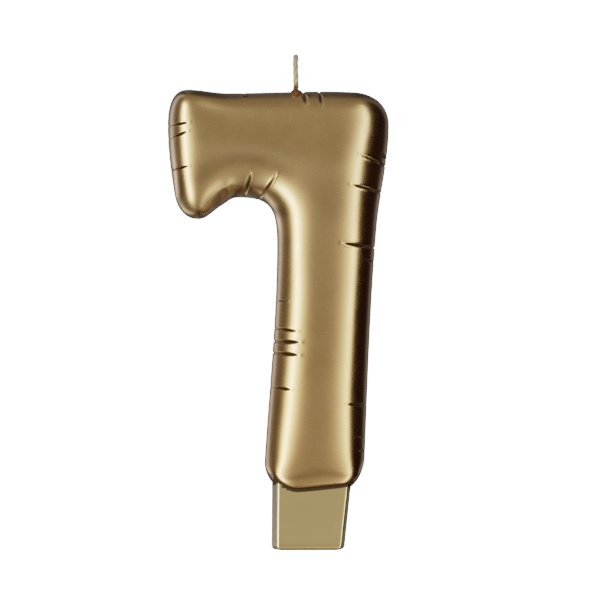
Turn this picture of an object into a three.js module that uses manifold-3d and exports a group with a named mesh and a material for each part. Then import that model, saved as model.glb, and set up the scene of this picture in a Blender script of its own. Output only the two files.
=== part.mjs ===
// Gold number candle: a numeral seven shaped like a foil balloon, on a short tapered foot, with its wick.
// Millimetres, +Z up, front towards -Y, origin at the centre of the foot's base.

import * as THREE from 'three';
import Module from 'manifold-3d';
import { mergeVertices } from 'three/addons/utils/BufferGeometryUtils.js';

// Heights of the numeral
const FOOT_SHOWN = 15.8; // base of the foot to the lower end of the figure
const STEM_LENGTH = 84.1; // lower end of the figure to the underside of the bar
const BAR_HEIGHT = 30; // underside of the bar to its top
const LOBE_DROP = 6.1; // how far the bar's left lobe hangs below its underside

// Widths of the numeral
const BAR_LENGTH = 62.8; // left end of the bar to the right shoulder
const STEM_WIDTH = 28.4; // stem near its lower end
const WAIST_WIDTH = 28; // stem where it meets the bar
const SHOULDER_REACH = 15.9; // stem's centre line to the right shoulder
const STEM_OFFSET = 0.45; // stem's centre line lies this far to the right of the foot's
const LEAN_DEGREES = 3.13; // stem and foot lean to the right going up

// Corners of the numeral, each as a width and a height
const LEFT_CORNER_WIDTH = 5.7;
const LEFT_CORNER_HEIGHT = 9.5;
const SHOULDER_CORNER_WIDTH = 10.5;
const SHOULDER_CORNER_HEIGHT = 9.5;
const INNER_CORNER_WIDTH = 11.2;
const INNER_CORNER_HEIGHT = 13.5;
const LOBE_CORNER_WIDTH = 6.6;
const LOBE_CORNER_HEIGHT = 7.1;
const LOBE_FLANK_SLOPE = 1.9; // how far the left end draws in towards the lobe
const END_RIGHT_CORNER_WIDTH = 6.1;
const END_RIGHT_CORNER_HEIGHT = 9.4;
const END_LEFT_CORNER_WIDTH = 9.5;
const END_LEFT_CORNER_HEIGHT = 9.4;
const END_RISE = 1.2; // the stem's lower end is this much higher on its right
const WAIST_DROP = 8; // underside of the bar to the start of the stem's straight right side

// Headings of the outline where it runs neither level nor upright, in degrees, going clockwise round the numeral
const SHOULDER_HEADING = -2.3;
const WAIST_HEADING = -95;
const END_RIGHT_HEADING = -92.2;
const END_HEADING = -176;
const END_LEFT_HEADING = 86.5;
const LOBE_FLANK_HEADING = 99;

// Swell of the top edge
const LEFT_CREST_RISE = 0.6;
const DIP_DEPTH = 0.4;
const DIP_FROM_CREST = 11.1;

// Thickness of the inflated form
const FIGURE_THICKNESS = 21; // front to back in the middle of the stem
const EDGE_ROUNDING = 10; // width of the rounded border along the sides
const SHOULDER_ROUNDING = 14; // width of the border at the right shoulder
const CORNER_ROUNDING = 3.6; // width of the border round the stem's lower corners
const END_ROUNDING = 2; // width of the border at the stem's lower end
const CROWN_SHARE = 0.15; // extra swell where the figure is widest
const SWELL_SHARE = 0.22; // extra swell where the bar and the stem meet
const SWELL_REACH = 17;
const SWELL_FROM_RIGHT = 9; // middle of this swell to the right shoulder
const SWELL_FROM_TOP = 19;
const LEFT_THINNING = 0.18; // how much thinner the figure is at its left end
const LEFT_THINNING_REACH = 22;
const LOWER_THINNING = 0.17; // and at the stem's lower end
const LOWER_THINNING_REACH = 36;

// Foot
const FOOT_WIDTH = 20.3; // at the base, over the mould line of its sides
const FOOT_DEPTH = 12.2; // at the base
const FOOT_TAPER_DEGREES = 2.8; // each face draws in towards the base
const FOOT_SIDE_DRAFT = 1; // the sides draw in from the mould line to the front and back faces
const FOOT_EDGE_RADIUS = 0.6;
const FOOT_BASE_RADIUS = 1.2;
const FOOT_SEAT = 5.4; // how far the foot is set into the figure

// Wick
const WICK_DIAMETER = 1.3;
const WICK_FREE_LENGTH = 10.4; // above the top of the bar
const WICK_FROM_SHOULDER = 26.4; // centre of the wick to the right shoulder
const WICK_END_HEIGHT = 6; // the wick stops this far above the base
const COLLAR_WIDTH = 3.1;
const COLLAR_RISE = 0.9; // above the top of the bar
const COLLAR_RUN = 4.6; // the wax has run this far from the wick towards the front
const COLLAR_BACK = 1.8; // and this far towards the back

const CLEARANCE = 0.3; // between pieces that touch on the real candle

// Puckers gathered along the edges. Share is the place along the edge, length runs inwards from the edge,
// and slant turns the pucker anticlockwise from square to the edge.
const PUCKERS = [
  { edge: 'leftEnd', share: 0.309, length: 5.6, width: 1.2, slant: 9 },
  { edge: 'leftEnd', share: 0.393, length: 5.5, width: 1.3, slant: 19 },
  { edge: 'leftEnd', share: 0.601, length: 4.8, width: 1.1, slant: 8 },
  { edge: 'topAndRight', share: 0.101, length: 1.5, width: 1.0, slant: 8 },
  { edge: 'topAndRight', share: 0.208, length: 3.6, width: 1.4, slant: 18 },
  { edge: 'topAndRight', share: 0.237, length: 3.7, width: 1.4, slant: 11 },
  { edge: 'topAndRight', share: 0.461, length: 2.6, width: 1.0, slant: -33 },
  { edge: 'topAndRight', share: 0.474, length: 7.0, width: 1.4, slant: -16 },
  { edge: 'topAndRight', share: 0.522, length: 8.4, width: 1.4, slant: -5 },
  { edge: 'topAndRight', share: 0.622, length: 8.8, width: 1.8, slant: -3 },
  { edge: 'topAndRight', share: 0.648, length: 2.9, width: 1.1, slant: -9 },
  { edge: 'topAndRight', share: 0.907, length: 5.8, width: 1.3, slant: -2 },
  { edge: 'topAndRight', share: 0.965, length: 2.9, width: 0.9, slant: -3 },
  { edge: 'topAndRight', share: 0.990, length: 2.7, width: 0.9, slant: -3 },
  { edge: 'underside', share: 0.156, length: 7.3, width: 1.4, slant: -11 },
  { edge: 'underside', share: 0.200, length: 9.0, width: 1.3, slant: -17 },
  { edge: 'underside', share: 0.522, length: 3.0, width: 1.0, slant: -2 },
  { edge: 'underside', share: 0.605, length: 5.9, width: 1.3, slant: -5 },
  { edge: 'underside', share: 0.644, length: 7.0, width: 1.7, slant: 2 },
  { edge: 'underside', share: 0.678, length: 6.9, width: 1.6, slant: -1 },
  { edge: 'underside', share: 0.779, length: 5.4, width: 1.4, slant: -4 },
];
const PUCKER_STEPS = 12;
const PUCKER_SIDES = 6;
const PUCKER_TIP_RADIUS = 0.3; // share of the groove's radius that is left at its tips
const PUCKER_TIP_LIFT = 0.6; // share of the groove's radius that its tips rise off the skin

// Fineness of the figure's surface
const RIM_STEP = 1.3; // spacing of the points that the inflated form is worked out from
const STRIPS_ACROSS = 18;

const radians = THREE.MathUtils.degToRad;
const lean = Math.tan(radians(LEAN_DEGREES));
const taper = Math.tan(radians(FOOT_TAPER_DEGREES));
const stemAxis = (z) => STEM_OFFSET + z * lean;

// Places that the sizes above lead to
const endZ = FOOT_SHOWN;
const archZ = endZ + STEM_LENGTH;
const topZ = archZ + BAR_HEIGHT;
const footTopZ = FOOT_SHOWN + FOOT_SEAT;
const shoulderZ = topZ - SHOULDER_CORNER_HEIGHT;
const rightX = stemAxis(shoulderZ) + SHOULDER_REACH;
const leftX = rightX - BAR_LENGTH;
const wickX = rightX - WICK_FROM_SHOULDER;

// One station on an edge of the outline: a place, the heading of the edge there in degrees, and, where a corner
// follows, how full that corner is
function station(x, z, heading, corner) {
  const direction = new THREE.Vector2(Math.cos(radians(heading)), Math.sin(radians(heading)));
  return { at: new THREE.Vector2(x, z), direction, corner };
}

// Where the line that leaves one station meets the line that arrives at the next
function cornerPoint(from, to) {
  const gap = to.at.clone().sub(from.at);
  const turn = from.direction.cross(to.direction);
  return from.at.clone().addScaledVector(from.direction, gap.cross(to.direction) / turn);
}

// A smooth edge through its stations
function edgeThrough(...stations) {
  const path = new THREE.CurvePath();
  for (let i = 0; i + 1 < stations.length; i++) {
    const [from, to] = [stations[i], stations[i + 1]];
    const leaving = from.at.clone();
    const arriving = to.at.clone();
    if (from.corner) {
      const tip = cornerPoint(from, to);
      leaving.lerp(tip, from.corner);
      arriving.lerp(tip, from.corner);
    } else {
      const third = from.at.distanceTo(to.at) / 3;
      leaving.addScaledVector(from.direction, third);
      arriving.addScaledVector(to.direction, -third);
    }
    path.add(new THREE.CubicBezierCurve(from.at, leaving, arriving, to.at));
  }
  return path;
}

const endRightZ = endZ + END_RISE + END_RIGHT_CORNER_HEIGHT;
const endRightX = stemAxis(endRightZ) + STEM_WIDTH / 2;
const endLeftZ = endZ + END_LEFT_CORNER_HEIGHT;
const endLeftX = stemAxis(endLeftZ) - STEM_WIDTH / 2;
const waistRightZ = archZ - WAIST_DROP;
const waistLeftZ = archZ - INNER_CORNER_HEIGHT;
const waistLeftX = stemAxis(waistLeftZ) - WAIST_WIDTH / 2;
const crestX = leftX + LEFT_CORNER_WIDTH;
const lobeX = leftX + LOBE_FLANK_SLOPE + LOBE_CORNER_WIDTH;
const lobeZ = archZ - LOBE_DROP;

// The outline's four edges, seen from the front. The first two run clockwise round the numeral, and the last two
// anticlockwise, so that the top and the underside run side by side from the left end to the stem's lower end.
const outline = {
  topAndRight: edgeThrough(
    station(crestX, topZ + LEFT_CREST_RISE, 0),
    station(crestX + DIP_FROM_CREST, topZ - DIP_DEPTH, 0),
    station(rightX - SHOULDER_CORNER_WIDTH, topZ, SHOULDER_HEADING, 0.62),
    station(rightX, shoulderZ, -90),
    station(stemAxis(waistRightZ) + WAIST_WIDTH / 2, waistRightZ, WAIST_HEADING),
    station(endRightX, endRightZ, END_RIGHT_HEADING)
  ),
  lowerEnd: edgeThrough(
    station(endRightX, endRightZ, END_RIGHT_HEADING, 0.52),
    station(endRightX - END_RIGHT_CORNER_WIDTH, endZ + END_RISE, END_HEADING),
    station(endLeftX + END_LEFT_CORNER_WIDTH, endZ, END_HEADING, 0.5),
    station(endLeftX, endLeftZ, END_LEFT_HEADING)
  ),
  underside: edgeThrough(
    station(lobeX, lobeZ, 0),
    station(waistLeftX - INNER_CORNER_WIDTH, archZ, 0, 0.82),
    station(waistLeftX, waistLeftZ, -90),
    station(endLeftX, endLeftZ, END_LEFT_HEADING - 180)
  ),
  leftEnd: edgeThrough(
    station(crestX, topZ + LEFT_CREST_RISE, 180, 0.67),
    station(leftX, topZ - LEFT_CORNER_HEIGHT, -90),
    station(leftX + LOBE_FLANK_SLOPE, lobeZ + LOBE_CORNER_HEIGHT, LOBE_FLANK_HEADING - 180, 0.61),
    station(lobeX, lobeZ, 0)
  ),
};

// The figure lies on the right of the edges that run clockwise, and on the left of the others
const insideTurn = { topAndRight: -90, lowerEnd: -90, underside: 90, leftEnd: 90 };

// How the width of the rounded border changes along the edges: a share of the edge, and the width there
const borders = {
  topAndRight: [[0, EDGE_ROUNDING], [0.34, EDGE_ROUNDING], [0.46, SHOULDER_ROUNDING], [0.64, EDGE_ROUNDING]],
  lowerEnd: [
    [0, EDGE_ROUNDING],
    [0.14, CORNER_ROUNDING],
    [0.3, END_ROUNDING],
    [0.72, END_ROUNDING],
    [0.88, CORNER_ROUNDING],
    [1, EDGE_ROUNDING],
  ],
  underside: [[0, EDGE_ROUNDING]],
  leftEnd: [[0, EDGE_ROUNDING]],
};

function borderWidth(name, share) {
  const stops = borders[name];
  const next = stops.findIndex(([place]) => place > share);
  if (next === -1) return stops.at(-1)[1];
  const [[from, fromWidth], [to, toWidth]] = [stops[next - 1], stops[next]];
  return THREE.MathUtils.mapLinear(share, from, to, fromWidth, toWidth);
}

// The outline as short straight pieces, each with the width of its rounded border
const rim = Object.entries(outline).flatMap(([name, edge]) => {
  const count = Math.ceil(edge.getLength() / RIM_STEP);
  const points = Array.from({ length: count + 1 }, (_, i) => edge.getPoint(i / count));
  return points.slice(1).map((to, i) => ({ from: points[i], to, rounding: borderWidth(name, (i + 0.5) / count) }));
});

// How deep a place lies inside the outline, as a share of the rounded border: 0 on the outline, and about 1 in the
// middle of the stem. Every piece of the rim presses the form flat with the inverse cube of its distance, and the
// sum over a straight piece has the closed form below.
function depthInside(x, z) {
  const place = new THREE.Vector2(x, z);
  let pressure = 0;
  for (const { from, to, rounding } of rim) {
    const length = from.distanceTo(to);
    const near = place.distanceTo(from);
    const far = place.distanceTo(to);
    const sum = near + far;
    pressure += rounding ** 2 * length * sum / (near * far * (sum ** 2 - length ** 2));
  }
  return 1 / Math.sqrt(pressure);
}

// How much fuller or thinner than the middle of the stem the figure is at a place
function swelling(x, z) {
  const across = (rightX - SWELL_FROM_RIGHT - x) / SWELL_REACH;
  const down = (topZ - SWELL_FROM_TOP - z) / SWELL_REACH;
  const joint = 1 + SWELL_SHARE * Math.exp(-(across ** 2) - down ** 2);
  const left = 1 - LEFT_THINNING * (1 - THREE.MathUtils.smoothstep(x, leftX, leftX + LEFT_THINNING_REACH));
  const lower = 1 - LOWER_THINNING * (1 - THREE.MathUtils.smoothstep(z, endZ, endZ + LOWER_THINNING_REACH));
  return joint * left * lower;
}

// Half the figure's thickness at a place inside the outline
function halfThickness(x, z) {
  const depth = depthInside(x, z);
  const crown = 1 + CROWN_SHARE * (depth - 1);
  return FIGURE_THICKNESS / 2 * swelling(x, z) * Math.sqrt(Math.tanh(2 * depth)) * crown;
}

// Height of the outline's upper edge at a place on the bar
function topEdgeHeight(x) {
  let [low, high] = [0, 0.4];
  for (let i = 0; i < 24; i++) {
    const middle = (low + high) / 2;
    if (outline.topAndRight.getPoint(middle).x < x) low = middle;
    else high = middle;
  }
  return outline.topAndRight.getPoint(low).y;
}

// Places along the figure, from 0 at its left end to 1 at the stem's lower end: close together at both ends, where
// the surface turns, and closer round the shoulder than down the stem
function stripEnds() {
  const stretches = [
    { from: 0, to: 0.09, count: 9, ease: (t) => 1 - Math.cos(t * Math.PI / 2) },
    { from: 0.09, to: 0.42, count: 30, ease: (t) => t },
    { from: 0.42, to: 0.95, count: 28, ease: (t) => t },
    { from: 0.95, to: 1, count: 9, ease: (t) => Math.sin(t * Math.PI / 2) },
  ];
  const shares = stretches.flatMap(({ from, to, count, ease }) =>
    Array.from({ length: count }, (_, i) => from + (to - from) * ease(i / count))
  );
  return [...shares, 1];
}

// A place inside the outline: along is the share of the way from the left end to the stem's lower end, and across
// runs from the top and right edge to the underside. The bulge of each end fades out along the figure.
function placeInside(along, across) {
  const between = (share) => outline.topAndRight.getPoint(share).lerp(outline.underside.getPoint(share), across);
  const place = between(along);
  const leftBulge = outline.leftEnd.getPoint(across).sub(between(0));
  const lowerBulge = outline.lowerEnd.getPoint(across).sub(between(1));
  place.addScaledVector(leftBulge, (1 - along) ** 12);
  place.addScaledVector(lowerBulge, along ** 24);
  return place;
}

// A closed surface from its corner points and its triangles, which are lists of three point numbers
function closedSurface(points, triangles) {
  const geometry = new THREE.BufferGeometry();
  geometry.setAttribute('position', new THREE.Float32BufferAttribute(points.flat(), 3));
  geometry.setIndex(triangles.flat());
  return geometry;
}

// The inflated numeral: a front and a back sheet that share the outline
function balloon() {
  const alongs = stripEnds();
  const acrosses = Array.from({ length: STRIPS_ACROSS + 1 }, (_, j) => (1 - Math.cos(j / STRIPS_ACROSS * Math.PI)) / 2);
  const points = [];
  const front = [];
  const back = [];
  alongs.forEach((along, i) => {
    front.push([]);
    back.push([]);
    acrosses.forEach((across, j) => {
      const { x, y: z } = placeInside(along, across);
      const onOutline = i === 0 || j === 0 || i === alongs.length - 1 || j === STRIPS_ACROSS;
      const half = onOutline ? 0 : halfThickness(x, z);
      front[i].push(points.push([x, -half, z]) - 1);
      back[i].push(onOutline ? front[i][j] : points.push([x, half, z]) - 1);
    });
  });
  const triangles = [];
  for (let i = 0; i + 1 < alongs.length; i++) {
    for (let j = 0; j < STRIPS_ACROSS; j++) {
      const [a, b, c, d] = [front[i][j], front[i][j + 1], front[i + 1][j + 1], front[i + 1][j]];
      triangles.push([a, b, c], [a, c, d]);
      const [e, f, g, h] = [back[i][j], back[i][j + 1], back[i + 1][j + 1], back[i + 1][j]];
      triangles.push([e, g, f], [e, h, g]);
    }
  }
  return closedSurface(points, triangles);
}

// A closed body through rings of points, each ring anticlockwise seen from the side that the body grows towards
function loft(rings) {
  const sides = rings[0].length;
  const triangles = [];
  for (let i = 0; i + 1 < rings.length; i++) {
    for (let j = 0; j < sides; j++) {
      const next = (j + 1) % sides;
      const [a, b] = [i * sides + j, i * sides + next];
      triangles.push([a, b, b + sides], [a, b + sides, a + sides]);
    }
  }
  const last = (rings.length - 1) * sides;
  for (let j = 1; j + 1 < sides; j++) {
    triangles.push([0, j + 1, j], [last, last + j, last + j + 1]);
  }
  return closedSurface(rings.flat(), triangles);
}

// The groove of one pucker: a spindle that follows the skin from the front, round the edge, to the back, and rises
// off the skin at both tips
function puckerGroove({ edge, share, length, width, slant }) {
  const start = outline[edge].getPoint(share);
  const tangent = outline[edge].getTangent(share);
  const inwards = tangent.rotateAround(new THREE.Vector2(), radians(insideTurn[edge] + slant));
  const skin = Array.from({ length: PUCKER_STEPS + 1 }, (_, i) => {
    const turn = (i / PUCKER_STEPS * 2 - 1) * Math.PI / 2;
    const reach = length * (1 - Math.cos(turn));
    const place = start.clone().addScaledVector(inwards, reach);
    const half = turn === 0 ? 0 : halfThickness(place.x, place.y);
    return new THREE.Vector3(place.x, Math.sign(turn) * half, place.y);
  });
  const sideways = new THREE.Vector3(-inwards.y, 0, inwards.x);
  const rings = skin.map((centre, i) => {
    const before = skin[Math.max(i - 1, 0)];
    const after = skin[Math.min(i + 1, PUCKER_STEPS)];
    const outwards = sideways.clone().cross(after.clone().sub(before)).normalize();
    const toTip = Math.abs(i / PUCKER_STEPS * 2 - 1);
    const radius = width / 2 * Math.max(Math.sin((0.15 + 0.85 * toTip) * Math.PI), PUCKER_TIP_RADIUS);
    const lift = width / 2 * PUCKER_TIP_LIFT * toTip ** 6;
    return Array.from({ length: PUCKER_SIDES }, (_, j) => {
      const angle = -j / PUCKER_SIDES * Math.PI * 2;
      const point = centre.clone();
      point.addScaledVector(sideways, radius * Math.cos(angle));
      point.addScaledVector(outwards, lift + radius * Math.sin(angle));
      return point.toArray();
    });
  });
  return loft(rings);
}

// The foot's outline at one height, seen from above: flat front and back faces, sides that bulge to the mould line,
// and round edges. Grow widens it, and draw-in is what the round edge of the base takes off.
function footSection(z, grow = 0, drawIn = 0) {
  const halfWidth = FOOT_WIDTH / 2 + z * taper + grow - drawIn;
  const halfDepth = FOOT_DEPTH / 2 + z * taper + grow - drawIn;
  const faceWidth = halfWidth - FOOT_SIDE_DRAFT;
  const corners = [[1, -1, -90], [1, 1, 0], [-1, 1, 90], [-1, -1, 180]];
  return corners.flatMap(([sideX, sideY, firstAngle]) => {
    const centreX = sideX * (faceWidth - FOOT_EDGE_RADIUS);
    const centreY = sideY * (halfDepth - FOOT_EDGE_RADIUS);
    const round = [0, 30, 60, 90].map((step) => {
      const angle = radians(firstAngle + step);
      const x = centreX + FOOT_EDGE_RADIUS * Math.cos(angle);
      return [z * lean + x, centreY + FOOT_EDGE_RADIUS * Math.sin(angle), z];
    });
    const mouldLine = [z * lean + sideX * halfWidth, 0, z];
    return sideX === sideY ? round : [...round, mouldLine];
  });
}

// Rings of the foot between two heights
function footBody() {
  const base = [0, 30, 60, 90].map((step) => {
    const angle = radians(step);
    const z = FOOT_BASE_RADIUS * (1 - Math.cos(angle));
    return footSection(z, 0, FOOT_BASE_RADIUS * (1 - Math.sin(angle)));
  });
  return loft([...base, footSection(footTopZ)]);
}

// An upright rod with a small chamfer at its top
function uprightRod(x, diameter, fromZ, toZ, chamfer = 0) {
  const radius = diameter / 2;
  const profile = [
    new THREE.Vector2(0, fromZ),
    new THREE.Vector2(radius, fromZ),
    new THREE.Vector2(radius, toZ - chamfer),
    new THREE.Vector2(radius - chamfer, toZ),
    new THREE.Vector2(0, toZ),
  ];
  const rod = new THREE.LatheGeometry(profile, 12);
  return rod.rotateX(Math.PI / 2).translate(x, 0, 0);
}

// Joining and cutting
const wasm = await Module();
wasm.setup();

function toSolid(geometry) {
  const bare = new THREE.BufferGeometry();
  bare.setAttribute('position', geometry.attributes.position);
  bare.setIndex(geometry.index);
  const merged = mergeVertices(bare, 1e-5);
  const mesh = new wasm.Mesh({
    numProp: 3,
    vertProperties: new Float32Array(merged.attributes.position.array),
    triVerts: new Uint32Array(merged.index.array),
  });
  return new wasm.Manifold(mesh);
}

function toGeometry(solid) {
  const mesh = solid.getMesh();
  const geometry = new THREE.BufferGeometry();
  geometry.setAttribute('position', new THREE.BufferAttribute(mesh.vertProperties, 3));
  geometry.setIndex(new THREE.BufferAttribute(mesh.triVerts, 1));
  geometry.computeVertexNormals();
  return geometry;
}

function cut(geometry, ...tools) {
  return toGeometry(tools.reduce((body, tool) => body.subtract(toSolid(tool)), toSolid(geometry)));
}

// Materials
const goldLacquer = new THREE.MeshStandardMaterial({ color: '#a98c5c', roughness: 0.38, metalness: 0.9 });
const waxedCotton = new THREE.MeshStandardMaterial({ color: '#cfc3a6', roughness: 0.85, metalness: 0 });
const amberWax = new THREE.MeshStandardMaterial({ color: '#8a5a34', roughness: 0.5, metalness: 0.2 });

const candle = new THREE.Group();

function addPiece(name, geometry, material) {
  const piece = new THREE.Mesh(geometry, material);
  piece.name = name;
  candle.add(piece);
}

// The figure, with its puckers, the pocket that the foot is set in and the wick's channel
const channelDiameter = WICK_DIAMETER + 2 * CLEARANCE;
const pocket = loft([footSection(endZ - FOOT_SEAT, CLEARANCE), footSection(footTopZ + CLEARANCE, CLEARANCE)]);
const figureChannel = uprightRod(wickX, channelDiameter, footTopZ - CLEARANCE, topZ + COLLAR_RISE + CLEARANCE);
addPiece('figure', cut(balloon(), ...PUCKERS.map(puckerGroove), pocket, figureChannel), goldLacquer);

// The foot, with the blind end of the wick's channel
const footChannel = uprightRod(wickX, channelDiameter, WICK_END_HEIGHT - CLEARANCE, footTopZ + CLEARANCE);
addPiece('foot', cut(footBody(), footChannel), goldLacquer);

// The wick, straight from inside the foot to its free tip
const wick = uprightRod(wickX, WICK_DIAMETER, WICK_END_HEIGHT, topZ + WICK_FREE_LENGTH, WICK_DIAMETER / 6);
addPiece('wick', wick, waxedCotton);

// The bead of wax that has run from the wick over the front of the bar: a flattened ball that sits on the figure
const bead = new THREE.SphereGeometry(0.5, 20, 14);
bead.scale(COLLAR_WIDTH, COLLAR_RUN + COLLAR_BACK, 2 * COLLAR_RISE);
bead.translate(wickX, (COLLAR_BACK - COLLAR_RUN) / 2, topEdgeHeight(wickX));
const seat = balloon().translate(0, 0, CLEARANCE);
addPiece('wick_collar', cut(bead, seat, figureChannel), amberWax);

export default candle;
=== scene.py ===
"""Looks of the gold number candle: the numeral shaped like a foil balloon, its foot, wick and bead of wax.

The shapes are worked out in millimetres and put into the scene in metres. The materials, the floor and the camera
are given in metres. The camera looks along +Y, a little from the left.
"""

import math

import bpy
import numpy as np
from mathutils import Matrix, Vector


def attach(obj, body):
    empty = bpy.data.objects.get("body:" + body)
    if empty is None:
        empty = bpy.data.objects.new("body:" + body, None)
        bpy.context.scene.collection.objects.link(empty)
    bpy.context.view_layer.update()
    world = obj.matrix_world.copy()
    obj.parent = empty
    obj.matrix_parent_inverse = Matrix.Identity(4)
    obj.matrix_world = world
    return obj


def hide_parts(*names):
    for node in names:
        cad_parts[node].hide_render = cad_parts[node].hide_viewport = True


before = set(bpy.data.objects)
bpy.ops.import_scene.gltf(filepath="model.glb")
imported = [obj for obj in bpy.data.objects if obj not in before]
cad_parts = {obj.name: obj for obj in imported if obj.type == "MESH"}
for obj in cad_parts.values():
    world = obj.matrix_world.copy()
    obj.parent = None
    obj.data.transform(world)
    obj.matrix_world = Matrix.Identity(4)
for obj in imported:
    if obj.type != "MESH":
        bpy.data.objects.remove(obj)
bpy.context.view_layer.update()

MM = 0.001

# Sizes of the numeral, as in the CAD model, apart from those with a note
FOOT_SHOWN = 15.8
STEM_LENGTH = 84.1
BAR_HEIGHT = 30
LOBE_DROP = 6.1
BAR_LENGTH = 62.8
STEM_WIDTH = 28.4
WAIST_WIDTH = 28
SHOULDER_REACH = 15.9
STEM_OFFSET = 0.45
LEAN = math.tan(math.radians(3.13))
LEFT_CORNER = (5.7, 9.5)
SHOULDER_CORNER = (10.5, 9.5)
INNER_CORNER = (11.2, 13.5)
LOBE_CORNER = (6.6, 7.1)
LOBE_FLANK_SLOPE = 1.9
END_RIGHT_CORNER = (6.1, 9.4)
END_LEFT_CORNER = (9.5, 9.4)
END_RISE = 1.2
WAIST_DROP = 8
SHOULDER_HEADING = -2.3
WAIST_HEADING = -95
END_RIGHT_HEADING = -92.2
END_HEADING = -176
END_LEFT_HEADING = 86.5
LOBE_FLANK_HEADING = 99
LEFT_CREST_RISE = 0.6
DIP_DEPTH = 0.4
DIP_FROM_CREST = 11.1
FIGURE_THICKNESS = 21
CROWN_SHARE = 0.15
SWELL_SHARE = 0.22
SWELL_REACH = 17
SWELL_FROM_SHOULDER = (9, 19)
LEFT_THINNING = 0.05  # 0.18 in the CAD model
LEFT_THINNING_REACH = 22
LOWER_THINNING = 0.17
LOWER_THINNING_REACH = 36
EDGE_ROUNDING = 10
SHOULDER_ROUNDING = 14
LEFT_ROUNDING = 5.9  # not in the CAD model
LOBE_ROUNDING = 11  # not in the CAD model
ARCH_ROUNDING = 11.7  # not in the CAD model
INNER_ROUNDING = 8.2  # not in the CAD model
STEM_END_ROUNDING = 8  # not in the CAD model
CORNER_ROUNDING = 2.6  # 3.6 in the CAD model
END_ROUNDING = 2.7  # 2 in the CAD model
FOOT_WIDTH = 20.65  # 20.3 in the CAD model
FOOT_DEPTH = 12.2
FOOT_SHIFT = -0.07  # not in the CAD model
FOOT_TAPER = math.tan(math.radians(2.8))
FOOT_SIDE_DRAFT = 1
FOOT_EDGE_RADIUS = 0.85  # 0.6 in the CAD model
FOOT_BASE_RADIUS = 1.2
FOOT_SEAT = 5.4
WICK_DIAMETER = 1.3
WICK_FREE_LENGTH = 10.7  # 10.4 in the CAD model
WICK_FROM_SHOULDER = 26.4
WICK_END_HEIGHT = 6
COLLAR_WIDTH = 3.1
COLLAR_RISE = 0.9
COLLAR_RUN = 5.3  # 4.6 in the CAD model
CLEARANCE = 0.3

END_Z = FOOT_SHOWN
ARCH_Z = END_Z + STEM_LENGTH
TOP_Z = ARCH_Z + BAR_HEIGHT
FOOT_TOP_Z = FOOT_SHOWN + FOOT_SEAT
SHOULDER_Z = TOP_Z - SHOULDER_CORNER[1]
RIGHT_X = STEM_OFFSET + SHOULDER_Z * LEAN + SHOULDER_REACH
LEFT_X = RIGHT_X - BAR_LENGTH
WICK_X = RIGHT_X - WICK_FROM_SHOULDER


# The outline of the numeral


def station(x, z, heading, corner=None):
    """A place on an edge, the edge's heading there in degrees, and how full a corner that follows is."""
    angle = math.radians(heading)
    return np.array([x, z], float), np.array([math.cos(angle), math.sin(angle)]), corner


def cross2(a, b):
    return a[0] * b[1] - a[1] * b[0]


class Edge:
    """A smooth edge through its stations, with places given by the share of its length."""

    def __init__(self, *stations):
        t = np.linspace(0, 1, 600)[:, None]
        pieces = []
        for (a, da, corner), (b, db, _) in zip(stations, stations[1:]):
            if corner:
                tip = a + da * (cross2(b - a, db) / cross2(da, db))
                leave, arrive = a + (tip - a) * corner, b + (tip - b) * corner
            else:
                third = np.linalg.norm(b - a) / 3
                leave, arrive = a + da * third, b - db * third
            curve = (1 - t) ** 3 * a + 3 * (1 - t) ** 2 * t * leave + 3 * (1 - t) * t**2 * arrive + t**3 * b
            pieces.append(curve if not pieces else curve[1:])
        self.points = np.concatenate(pieces)
        steps = np.linalg.norm(np.diff(self.points, axis=0), axis=1)
        self.reach = np.concatenate([[0], np.cumsum(steps)])
        self.length = self.reach[-1]

    def at(self, share):
        where = np.asarray(share) * self.length
        return np.stack([np.interp(where, self.reach, self.points[:, k]) for k in (0, 1)], -1)

    def tangent(self, share):
        step = 0.002
        ahead = self.at(min(share + step, 1)) - self.at(max(share - step, 0))
        return ahead / np.linalg.norm(ahead)


end_right_z = END_Z + END_RISE + END_RIGHT_CORNER[1]
end_right_x = STEM_OFFSET + end_right_z * LEAN + STEM_WIDTH / 2
end_left_z = END_Z + END_LEFT_CORNER[1]
end_left_x = STEM_OFFSET + end_left_z * LEAN - STEM_WIDTH / 2
waist_right_z = ARCH_Z - WAIST_DROP
waist_right_x = STEM_OFFSET + waist_right_z * LEAN + WAIST_WIDTH / 2
waist_left_z = ARCH_Z - INNER_CORNER[1]
waist_left_x = STEM_OFFSET + waist_left_z * LEAN - WAIST_WIDTH / 2
crest_x = LEFT_X + LEFT_CORNER[0]
lobe_x = LEFT_X + LOBE_FLANK_SLOPE + LOBE_CORNER[0]
lobe_z = ARCH_Z - LOBE_DROP

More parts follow.
